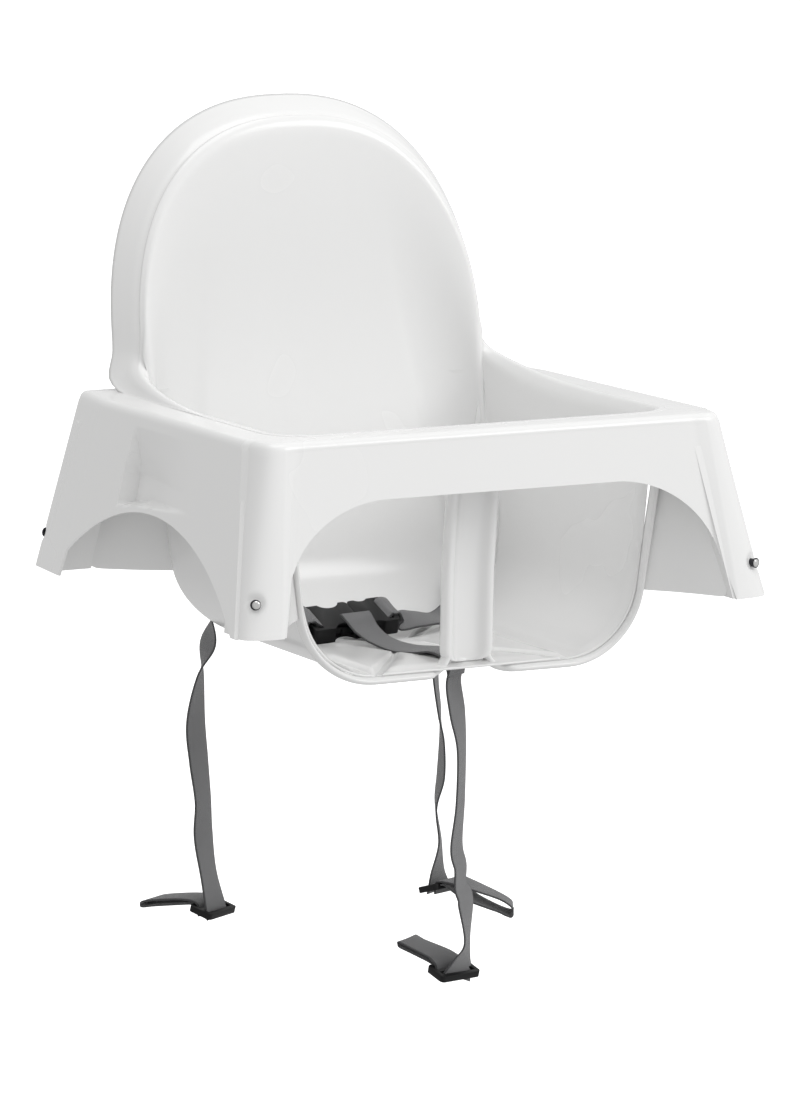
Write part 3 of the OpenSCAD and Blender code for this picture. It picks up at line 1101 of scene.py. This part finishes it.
    def half_rings(self) -> list[list[Vector]]:
        """Half rings from the inner boundary over the rim edge and down the skirt.

        Returns:
            The rings, each from the front centre to the rear centre.
        """
        places = self.stations()
        top = [self.outline(p, s, 0.0) for p, s in places]
        outs = []
        for i in range(len(top)):
            a, b = top[max(i - 1, 0)], top[min(i + 1, len(top) - 1)]
            d = (b - a).normalized()
            outs.append(Vector((d.y, -d.x, 0)))
        inner = self.tub.level(self.size.rim_h, self.tub.edge_r)
        hole = inner + [Vector((-p.x, p.y, p.z)) for p in inner[-2:0:-1]]
        rings = [[self._toward(p, hole) for p in top]]
        lean = self.size.splay / self.size.rim_h
        delta = math.atan(lean)
        shift = lean * self.edge_r - self.edge_r / math.cos(delta)
        for k in range(6):
            a = (math.pi / 2 - delta) * k / 5
            offset = shift + self.edge_r * math.sin(a)
            z = self.size.rim_h - self.edge_r + self.edge_r * math.cos(a)
            rings.append([p + o * offset + Vector((0, 0, z)) for p, o in zip(top, outs)])
        start = rings[-1][0].z
        lows = [self.low_edge(p, s) for p, s in places]
        for row in range(1, self.rows + 1):
            ring = []
            for (part, share), low in zip(places, lows):
                z = start + (low - start) * row / self.rows
                p = self.outline(part, share, 1 - z / self.size.rim_h)
                if part == 2:
                    p = p - Vector((self.recess(p.y, z), 0, 0))
                if part in (1, 3, 4):
                    p = self._dimple(p, z)
                ring.append(Vector((p.x, p.y, z)))
            rings.append(ring)
        return rings

    def _toward(self, point: Vector, hole: list[Vector]) -> Vector:
        """Where the line from the middle to point crosses the hole's outline.

        Args:
            point: A point of the rim.
            hole: The hole's outline.

        Returns:
            The crossing, at rim height.
        """
        best = None
        for a, b in zip(hole, hole[1:] + hole[:1]):
            d, e = point.to_2d(), (b - a).to_2d()
            det = d.x * -e.y + e.x * d.y
            if abs(det) < 1e-9:
                continue
            s = (a.x * -e.y + e.x * a.y) / det
            u = (d.x * a.y - d.y * a.x) / det
            if s > 0 and -1e-6 <= u <= 1 + 1e-6:
                best = s
                break
        return Vector((point.x * best, point.y * best, self.size.rim_h))

    def button_spot(self, rear: bool = False) -> tuple[Vector, Vector]:
        """Centre of a press button's face on the right-hand side, and the way it points.

        Args:
            rear: Whether it is the rear socket's button.

        Returns:
            Point and direction in millimetres.
        """
        node = "press_button_rear_right" if rear else "press_button_front_right"
        low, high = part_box(node)
        sign = 1 if rear else -1
        turn = math.radians(66.4)
        way = Vector((math.cos(turn), sign * math.sin(turn), 0))
        corner = Vector((high.x, high.y if rear else low.y, (low.z + high.z) / 2)) / MM
        return corner - Vector((2.0 * abs(way.y), sign * 2.0 * way.x, 0)), way

    def _dimple(self, p: Vector, z: float) -> Vector:
        """Press a shallow round dish into the column round its button.

        Args:
            p: A point of the column.
            z: Its height.

        Returns:
            The point, pressed in.
        """
        head, way = self.button_spot(rear=p.y > 0)
        reach = (Vector((p.x, p.y, z)) - head)
        reach -= way * reach.dot(way)
        depth = 1.3 * (1 - smooth(reach.length, 4.5, 7.5))
        return p - Vector((way.x, way.y, 0)) * depth

    def build(self) -> bpy.types.Object:
        """Loft rim and skirts and give them a wall.

        Returns:
            The finished rim.
        """
        rings = []
        for half in self.half_rings():
            rings.append(half + [Vector((-p.x, p.y, p.z)) for p in half[-2:0:-1]])
        bm = bmesh.new()
        loft(bm, rings, closed=True)
        bmesh.ops.recalc_face_normals(bm, faces=bm.faces)
        if next(f for f in bm.faces if abs(f.normal.z) > 0.99).normal.z < 0:
            bmesh.ops.reverse_faces(bm, faces=bm.faces)
        obj = finish_mesh(bm, "rim_and_skirts", turn=False)
        thicken(obj, self.size.wall - 0.4, -1.0)
        settle(obj)
        sharp_edges(obj, 50)
        return obj

    def core(self, rear: bool) -> list[list[Vector]]:
        """Outlines of the solid socket inside one right-hand column, mouth first.

        Args:
            rear: Whether it is a rear column.

        Returns:
            The outlines.
        """
        rings = []
        parts = (3, 4) if rear else (1,)
        for t in (1.0, 0.75, 0.5, 0.25, 0.04):
            ring = []
            for part in parts:
                for k in range(13):
                    p = self.outline(part, min(max(k / 12, 0.02), 0.98), t)
                    flare = self.size.splay * t
                    middle = Vector((self.size.half_w - self.bore_in[0] + flare,
                                     (1 if rear else -1) * (self.size.half_d - self.bore_in[1] + flare), 0))
                    ring.append(p + (middle - p).normalized() * 2.0)
            x_in = self.size.half_w + self.size.splay * t - 32.0
            sign = 1 if rear else -1
            y_in = sign * (self.size.half_d + self.size.splay * t - 38.0)
            if rear:
                ring = [p if p.y > y_in else Vector((p.x - 0.16 * (y_in - p.y), y_in, 0)) for p in ring]
                ring += [Vector((x_in, ring[-1].y, 0)), Vector((x_in, y_in, 0))]
            else:
                ring += [Vector((ring[-1].x, y_in, 0)), Vector((x_in, y_in, 0)), Vector((x_in, ring[0].y, 0))]
            z = self.size.rim_h * (1 - t) + 0.4
            rings.append([Vector((p.x, p.y, z)) for p in ring])
        return rings

    def button_ring(self, side: int, rear: bool) -> bpy.types.Object:
        """A dark ring of painted shade that a press button stands in, for the shadow gap round it.

        Args:
            side: 1 on the right, -1 on the left.
            rear: Whether it is on a rear column.

        Returns:
            The ring.
        """
        head, way = self.button_spot(rear)
        across = Vector((-way.y, way.x, 0))
        rings = []
        for k in range(33):
            a = 2 * math.pi * k / 32
            out = across * math.cos(a) + Vector((0, 0, math.sin(a)))
            centre = head - way * 1.7 + out * 2.9
            ring = []
            for j in range(8):
                b = 2 * math.pi * j / 8
                p = centre + out * 0.65 * math.cos(b) + way * 0.65 * math.sin(b)
                ring.append(Vector((side * p.x, p.y, p.z)))
            rings.append(ring)
        bm = bmesh.new()
        loft(bm, rings, closed=True)
        bmesh.ops.remove_doubles(bm, verts=bm.verts, dist=0.01)
        return finish_mesh(bm, f"button_ring_{'rear' if rear else 'front'}_{'right' if side > 0 else 'left'}")

    def sockets(self) -> list[bpy.types.Object]:
        """The four solid sockets with their bores.

        Returns:
            The sockets: both front ones, then both rear ones.
        """
        made = []
        for rear in (False, True):
            for side in (1, -1):
                rings = self.core(rear)
                bm = bmesh.new()
                rows = loft(bm, rings, closed=True)
                bm.faces.new(rows[-1])
                sign = 1 if rear else -1
                lean = self.size.splay / self.size.rim_h
                flare = self.size.splay
                spot = Vector((self.size.half_w + flare - self.bore_in[0],
                               sign * (self.size.half_d + flare - self.bore_in[1]), 0.4))
                axis = Vector((-lean, -sign * lean, 1))
                mouth = [
                    spot + Vector((self.bore_r * math.cos(a), self.bore_r * math.sin(a), 0))
                    for a in (2 * math.pi * k / 40 for k in range(40))
                ]
                bore = loft(bm, [mouth, [p + axis * 52 for p in mouth], [p + axis * 104 for p in mouth]], True)
                bm.faces.new(bore[-1])
                rim = [e for e in bm.edges if e.is_boundary]
                bmesh.ops.triangle_fill(bm, edges=rim, use_beauty=True)
                if side < 0:
                    bmesh.ops.scale(bm, vec=(-1, 1, 1), verts=bm.verts)
                name = f"socket_{'rear' if rear else 'front'}_{'right' if side > 0 else 'left'}"
                obj = finish_mesh(bm, name)
                sharp_edges(obj, 35)
                made.append(obj)
        return made

    def webs(self) -> list[bpy.types.Object]:
        """Walls that tie each column to the tub.

        Returns:
            The four walls.
        """
        made = []
        for rear in (False, True):
            for side in (1, -1):
                rings = []
                for k in range(13):
                    z = 119.0 * (1 - k / 12) + 0.6
                    t = 1 - z / self.size.rim_h
                    if rear:
                        inner = Vector((self.tub.half(z) - 12 - 16 * t, 122.0 - 26 * t, z))
                        flare = self.size.splay * t
                        outer = Vector((self.size.half_w + flare - 31.0, self.size.half_d + flare - 36.0, z))
                    else:
                        inner = Vector((self.tub.half(z) + 3.0, -117.0 - 0.03 * z, z))
                        outer = Vector((self.border_x(t) + 1.2, self.panel_y(t) + 3.0, z))
                    row = []
                    for j in range(9):
                        s = j / 8
                        p = mix(inner, outer, s)
                        swell = 5.0 * math.sin(math.pi * s) * (-1 if rear else 1)
                        row.append(Vector((side * p.x, p.y + swell, p.z)))
                    rings.append(row)
                bm = bmesh.new()
                loft(bm, rings, closed=False)
                name = f"web_{'rear' if rear else 'front'}_{'right' if side > 0 else 'left'}"
                obj = finish_mesh(bm, name)
                subdivide(obj, 1)
                thicken(obj, 2.6, 0.0)
                settle(obj)
                sharp_edges(obj, 50)
                made.append(obj)
        return made


# ---------------------------------------------------------------- frame pieces with softened edges


@dataclass
class SoftenedSolid:
    """A copy of one of the frame's solids with its sharp edges rounded."""

    node: str
    radius: float
    body: str
    segments: int = 2

    def build(self) -> bpy.types.Object:
        """Copy, merge and bevel the solid, and stand it in for its node.

        Returns:
            The softened piece.
        """
        source = next(o for o in bpy.data.objects if o.type == "MESH" and o.name.split(".")[0] == self.node)
        bm = bmesh.new()
        bm.from_mesh(source.data)
        bmesh.ops.remove_doubles(bm, verts=bm.verts, dist=1e-6)
        bmesh.ops.dissolve_limit(
            bm, angle_limit=math.radians(1.5), verts=bm.verts, edges=bm.edges, use_dissolve_boundaries=False
        )
        bmesh.ops.scale(bm, vec=(1 / MM,) * 3, verts=bm.verts)
        obj = finish_mesh(bm, f"{self.node}_piece")
        mod = obj.modifiers.new("edges", "BEVEL")
        mod.width, mod.segments = self.radius * MM, self.segments
        mod.limit_method, mod.angle_limit = "ANGLE", math.radians(40)
        mod.harden_normals = False
        settle(obj)
        sharp_edges(obj, 40)
        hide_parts(self.node)
        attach(obj, self.body)
        return obj


# ---------------------------------------------------------------- webbing


@dataclass
class Strip:
    """A flat length of webbing along a route, with its own map of the weave."""

    name: str
    route: list[Vector]
    turns: list[Vector]
    width: float = 25.0
    thick: float = 1.4
    steps: int = 90

    def build(self) -> bpy.types.Object:
        """Sweep the section along the route.

        Returns:
            The strip; its length is kept in metres.
        """
        centres = spline(self.route, self.steps)
        sides = [v.normalized() for v in spline(self.turns, self.steps)]
        rings, runs, run = [], [], 0.0
        half, edge = self.width / 2, self.thick / 2
        section = [
            (-half, 0.0), (-half + 0.25, -edge * 0.8), (-half + 0.9, -edge), (-half * 0.5, -edge), (0.0, -edge),
            (half * 0.5, -edge), (half - 0.9, -edge), (half - 0.25, -edge * 0.8), (half, 0.0),
            (half - 0.25, edge * 0.8), (half - 0.9, edge), (half * 0.5, edge), (0.0, edge),
            (-half * 0.5, edge), (-half + 0.9, edge), (-half + 0.25, edge * 0.8),
        ]
        for i, centre in enumerate(centres):
            ahead = (centres[min(i + 1, len(centres) - 1)] - centres[max(i - 1, 0)]).normalized()
            side = (sides[i] - ahead * sides[i].dot(ahead)).normalized()
            up = ahead.cross(side)
            rings.append([centre + side * a + up * b for a, b in section])
            run += (centre - centres[i - 1]).length * MM if i else 0.0
            runs.append(run)
        bm = bmesh.new()
        rows = loft(bm, rings, closed=True)
        place = {}
        for row, run in zip(rows, runs):
            place.update({v: (section[k][0] / self.width + 0.5, run) for k, v in enumerate(row)})
        close_ends(bm, rows)
        strip = bm.loops.layers.uv.new("strip")
        for face in bm.faces:
            for loop in face.loops:
                loop[strip].uv = place[loop.vert]
        obj = finish_mesh(bm, self.name)
        sharp_edges(obj, 50)
        self.length = runs[-1]
        return obj


def heading(degrees: float) -> Vector:
    """Level direction at this angle from +X."""
    a = math.radians(degrees)
    return Vector((math.cos(a), math.sin(a), 0))


@dataclass
class Harness:
    """All the webbing, with what it hangs from and holds."""

    finishes: Finishes
    tail_y: float = 108.0
    crotch_y: float = -94.0

    def _lay(self, strip: Strip, node: str, body: str,
             bend: tuple[str, str, tuple, tuple] | None = None) -> bpy.types.Object:
        """Args:
            strip: The strip to build.
            node: The CAD solid it stands for.
            body: The body it rides on.
            bend: Two bodies and two points; only whether it is given is read, and then the strip is kept in
                place on no body.

        Returns:
            The finished strip.
        """
        obj = self.finishes.dress(strip.build(), WEBBING_GREY)
        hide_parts(node)
        if bend:
            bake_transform(obj)
        else:
            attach(obj, body)
        LOG.info("strip %s, %.0f mm", obj.name, strip.length / MM)
        return obj

    def tail(self, side: str, y: float, stops: Sequence[tuple[float, float, float]]) -> None:
        """Hang one tail.

        Args:
            side: left, right or crotch.
            y: The tail's plane.
            stops: Sideways place, height and turn of its width, from the top down.
        """
        route = [Vector((x, y, z)) for x, z, _ in stops]
        turns = [heading(turn) for _, _, turn in stops]
        strip = Strip(f"tail_strip_{side}", route, turns, steps=110)
        self._lay(strip, f"strap_tail_{side}", f"tail_{side}")

    def free_end(self, side: str, spot: Vector, turn: float, reach: float, droop: float, gape: float,
                 swing: float = 0.0) -> None:
        """Fold the free end back on itself behind its adjuster.

        Args:
            side: left, right or crotch.
            spot: The adjuster's middle.
            turn: The adjuster's turn in degrees.
            reach: How far the fold reaches.
            droop: How far its tip hangs, or rises if negative.
            gape: How far the fold stands open.
            swing: How many degrees its tip swings round.
        """
        out = heading(turn + 90)
        path = [
            (7.4, -3.0), (7.4, 3.0), (9.5, 6.3), (15.0, 8.0), (reach * 0.45, 8.4), (reach * 0.8, 7.6),
            (reach - 1.5, 6.6), (reach, 5.2 - gape / 3), (reach - 1.5, 3.8 - gape * 0.6),
            (reach * 0.8, 5.0 - gape), (reach * 0.45, 5.8 - gape * 0.8), (15.0, 5.4), (11.5, 5.0),
        ]
        route, turns = [], []
        for run, up in path:
            share = max(run - 8.0, 0.0) / (reach - 8.0)
            bend = swing * min(1.0, 1.6 * share)
            place = out * min(run, 8.0) + heading(turn + 90 + bend * 0.75) * max(run - 8.0, 0.0)
            route.append(spot + place + Vector((0, 0, up - droop * share**1.4)))
            turns.append(heading(turn + bend))
        strip = Strip(f"free_end_{side}", route, turns, steps=100)
        self._lay(strip, f"strap_end_{side}", f"adjuster_{side}")

    def build(self) -> None:
        """Lay every strip of the harness."""
        self.tail("left", self.tail_y, (
            (-88, -20, 30), (-89, -35, 60), (-93, -54, 90), (-99, -76, 55), (-103, -108, 35),
            (-101, -136, 35), (-98, -165, 40), (-98, -190, 35), (-94, -220, 40), (-88, -249, 30),
        ))
        self.tail("right", self.tail_y, (
            (88, -20, -30), (87, -50, 35), (86, -90, 55), (89, -118, 60), (91, -138, 70),
            (90, -165, 75), (86, -187, 65), (89, -213, 60), (87, -236, 40), (88, -249, 20),
        ))
        self.tail("crotch", self.crotch_y, (
            (0, -47, 40), (-2, -58, 40), (1, -78, 40), (4, -102, 50), (3, -140, 50), (0, -170, 45),
            (3, -185, 45), (3, -198, 45), (7, -210, 40), (8, -237, 55), (4, -252, 30), (0, -262, 10),
        ))
        self.free_end("left", Vector((-88, 108, -246)), 30, 58, 5.0, 1.5)
        self.free_end("right", Vector((88, 108, -246)), 200, 56, 17.0, 7.0, 44.0)
        self.free_end("crotch", Vector((0, -94, -259)), 10, 44, -12.0, 0.5, 25.0)
        self._waist()

    def _waist(self) -> None:
        """Lay the three straps that lie on the seat."""
        tilt = Matrix.Rotation(math.radians(20), 3, "X")
        up = tilt @ Vector((0, 1, 0))
        left = Strip(
            "waist_strip_left",
            [Vector(p) for p in (
                (-48.0, 10, -27.6), (-57.5, 9.7, -23.0), (-62, 9.5, -20.4), (-67.0, 9.6, -22.4),
                (-68.0, 9.8, -28.5), (-66.0, 10.0, -34.0),
                (-72, 10.5, -36.5), (-80, 20, -37.5), (-85, 40, -36.5), (-85, 62, -30.0), (-84, 80, -21.0),
                (-86, 92, -18.5), (-90, 101, -19.5))],
            [up, up, up, up, up, up, Vector((0.2, 1, 0.1)), Vector((0.8, 0.6, 0)), Vector((1, 0.1, 0)),
             Vector((1, 0.1, 0)), heading(20), heading(29), heading(29)],
        )
        self._lay(left, "waist_strap_left", "root")
        right = Strip(
            "waist_strip_right",
            [Vector(p) for p in (
                (-16, 10, -26.6), (-6.5, 10, -22.6), (-2.0, 10, -19.6), (3.6, 10, -20.8),
                (5.0, 10.2, -26.0), (3.6, 10.4, -30.6),
                (9, 11, -31.5), (20, 13, -30.5), (34, 19, -32.0), (52, 26, -35.0), (70, 40, -33.5),
                (84, 60, -28.0),
                (93, 78, -20.0), (97, 91, -18.5), (98, 101, -19.5))],
            [up, up, up, up, up, up, Vector((0.0, 1, 0.35)), Vector((-0.1, 1, 0.35)), Vector((-0.3, 1, 0.25)),
             Vector((-0.4, 0.9, 0.25)), Vector((-0.4, 0.7, 0.7)), Vector((-0.2, 0.5, 0.8)),
             Vector((0.1, 0.6, 0.5)),
             heading(80), heading(68)],
        )
        self._lay(
            right, "waist_strap_right", "root",
            bend=("root", "tongue", (0.070, 0.060, -0.030), (0.006, 0.010, -0.027)),
        )
        crotch = Strip(
            "crotch_strip",
            [Vector(p) for p in (
                (0, -94, -52), (0, -93.5, -45), (0, -90, -38.5), (-2, -78, -37.0), (-6, -58, -39.5),
                (-12, -38, -41.0),
                (-20, -22, -38.0), (-27, -13, -31.0), (-30, -7, -24.5), (-31, -1, -20.5))],
            [heading(38), heading(30), heading(12), Vector((1, 0.2, 0.0)), Vector((1, 0.4, 0.05)),
             Vector((1, 0.5, 0.05)), Vector((1, 0.55, 0.0)), Vector((1, 0.4, 0)), Vector((1, 0.25, 0)),
             Vector((1, 0.15, 0))],
        )
        self._lay(crotch, "crotch_strap", "root")


# ---------------------------------------------------------------- studio


@dataclass
class Studio:
    """Camera, floor and lights."""

    seat: Vector = field(default_factory=lambda: Vector((-1.747, -3.539, 0.645)))
    azimuth: float = -26.33
    elevation: float = 9.16
    roll: float = -0.214
    lens: float = 260.2
    shift_y: float = 0.0247
    floor_z: float = -0.53
    sky: float = 0.7

    def camera(self) -> None:
        """Place the camera."""
        data = bpy.data.cameras.new("camera")
        data.sensor_fit, data.sensor_width, data.lens = "HORIZONTAL", 36.0, self.lens
        data.shift_y = self.shift_y
        data.clip_end = 200.0
        obj = bpy.data.objects.new("camera", data)
        bpy.context.scene.collection.objects.link(obj)
        a, e = math.radians(self.azimuth), math.radians(self.elevation)
        back = Vector((math.sin(a) * math.cos(e), -math.cos(a) * math.cos(e), math.sin(e)))
        right = Vector((math.cos(a), math.sin(a), 0))
        up = back.cross(right)
        r = math.radians(self.roll)
        right, up = right * math.cos(r) + up * math.sin(r), up * math.cos(r) - right * math.sin(r)
        turn = Matrix((right, up, back)).transposed().to_4x4()
        obj.matrix_world = Matrix.Translation(self.seat) @ turn
        bpy.context.scene.camera = obj

    def area(self, name: str, spot: Vector, size: float, power: float) -> None:
        """Hang one soft square light that faces the seat.

        Args:
            name: The light's name.
            spot: Where it hangs, in metres.
            size: Its side in metres.
            power: Its power in watts.
        """
        data = bpy.data.lights.new(name, "AREA")
        data.size, data.energy = size, power
        obj = bpy.data.objects.new(name, data)
        bpy.context.scene.collection.objects.link(obj)
        aim = (spot - Vector((0, 0, 0.1))).to_track_quat("Z", "Y")
        obj.matrix_world = Matrix.Translation(spot) @ aim.to_matrix().to_4x4()

    def build(self) -> None:
        """Set the floor, the sky and the lights."""
        bm = bmesh.new()
        bmesh.ops.create_grid(bm, x_segments=1, y_segments=1, size=40.0 / MM)
        bmesh.ops.translate(bm, vec=(0, 0, self.floor_z / MM), verts=bm.verts)
        floor = finish_mesh(bm, "floor")
        material = bpy.data.materials.new("floor_pale")
        material.use_nodes = True
        shader = material.node_tree.nodes["Principled BSDF"]
        shader.inputs["Base Color"].default_value = (0.93, 0.93, 0.93, 1)
        shader.inputs["Roughness"].default_value = 0.9
        shader.inputs["Emission Color"].default_value = (1, 1, 1, 1)
        shader.inputs["Emission Strength"].default_value = 0.62
        floor.data.materials.append(material)
        floor.visible_diffuse = floor.visible_glossy = False
        world = bpy.data.worlds.new("studio")
        world.use_nodes = True
        sky = world.node_tree.nodes["Background"]
        sky.inputs["Color"].default_value = (1, 1, 1, 1)
        nodes, links = world.node_tree.nodes, world.node_tree.links
        seen, level = nodes.new("ShaderNodeLightPath"), nodes.new("ShaderNodeMapRange")
        aim, side = nodes.new("ShaderNodeTexCoord"), nodes.new("ShaderNodeVectorMath")
        side.operation = "DOT_PRODUCT"
        side.inputs[1].default_value = (0.62, -0.62, 0.48)
        shade = nodes.new("ShaderNodeMapRange")
        shade.inputs["From Min"].default_value = -1.0
        shade.inputs["To Min"].default_value = self.sky - 0.12
        shade.inputs["To Max"].default_value = self.sky + 0.2
        links.new(aim.outputs["Generated"], side.inputs[0])
        links.new(side.outputs["Value"], shade.inputs["Value"])
        links.new(shade.outputs["Result"], level.inputs["To Min"])
        level.inputs["To Max"].default_value = 1.0
        links.new(seen.outputs["Is Camera Ray"], level.inputs["Value"])
        links.new(level.outputs["Result"], sky.inputs["Strength"])
        bpy.context.scene.world = world
        self.area("key", Vector((2.2, -2.6, 2.2)), 1.8, 36.0)
        self.area("top", Vector((-0.1, -0.3, 3.0)), 2.0, 20.0)
        bpy.context.scene.view_settings.view_transform = "Standard"


# ---------------------------------------------------------------- the whole seat


def build_shell(finishes: Finishes) -> None:
    """Build the moulded shell and stand it in for its solids.

    Args:
        finishes: The materials.
    """
    sizes = ShellSizes.from_frame()
    tub = Tub(sizes)
    shell = tub.build()
    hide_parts("seat_tub")
    skirt = Skirt(sizes, tub)
    rim = skirt.build()
    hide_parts("rim_frame")
    sockets = skirt.sockets()
    for obj, place in zip(sockets, ("front_right", "front_left", "rear_right", "rear_left")):
        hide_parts(f"leg_socket_{place}")
    for obj in (shell, rim, *sockets, *skirt.webs(), *Lips(sizes, tub).build()):
        finishes.dress(obj, SHELL_WHITE)
        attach(obj, "root")
        LOG.info("shell piece %s, %d faces", obj.name, len(obj.data.polygons))
    for side in (1, -1):
        # Dark rings of painted shade round each press button, for the shadow gap where it stands in its column.
        for rear in (False, True):
            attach(finishes.dress(skirt.button_ring(side, rear), PIN_DARK_STEEL_AND_SHADE), "root")


def build_hardware(finishes: Finishes) -> None:
    """Soften and dress the buckle, the adjusters and the buttons.

    Args:
        finishes: The materials.
    """
    pieces = [
        (SoftenedSolid("buckle_socket", 0.9, "root"), BUCKLE_BLACK),
        (SoftenedSolid("buckle_tongue", 0.9, "tongue"), BUCKLE_BLACK),
        (SoftenedSolid("buckle_prong_front", 0.4, "prong_front"), BUCKLE_BLACK),
        (SoftenedSolid("buckle_prong_rear", 0.4, "prong_rear"), BUCKLE_BLACK),
    ]
    for side in ("left", "right", "crotch"):
        pieces.append((SoftenedSolid(f"strap_adjuster_{side}", 0.8, f"adjuster_{side}"), BUCKLE_BLACK))
    for place in ("front_left", "front_right", "rear_left", "rear_right"):
        pieces.append((SoftenedSolid(f"press_button_{place}", 0.35, f"button_{place}", 3), PIN_STEEL))
        pieces.append((SoftenedSolid(f"button_spring_{place}", 0.1, "root", 1), PIN_DARK_STEEL_AND_SHADE))
    for piece, finish in pieces:
        obj = finishes.dress(piece.build(), finish)
        LOG.info("hardware %s, %d faces", obj.name, len(obj.data.polygons))


def main() -> None:
    """Build the seat in order and report each piece."""
    logging.basicConfig(level=logging.INFO, format="%(message)s")
    studio = Studio()
    studio.camera()
    finishes = Finishes()
    build_shell(finishes)
    build_hardware(finishes)
    Harness(finishes).build()
    studio.build()


if __name__ == "__main__":
    main()
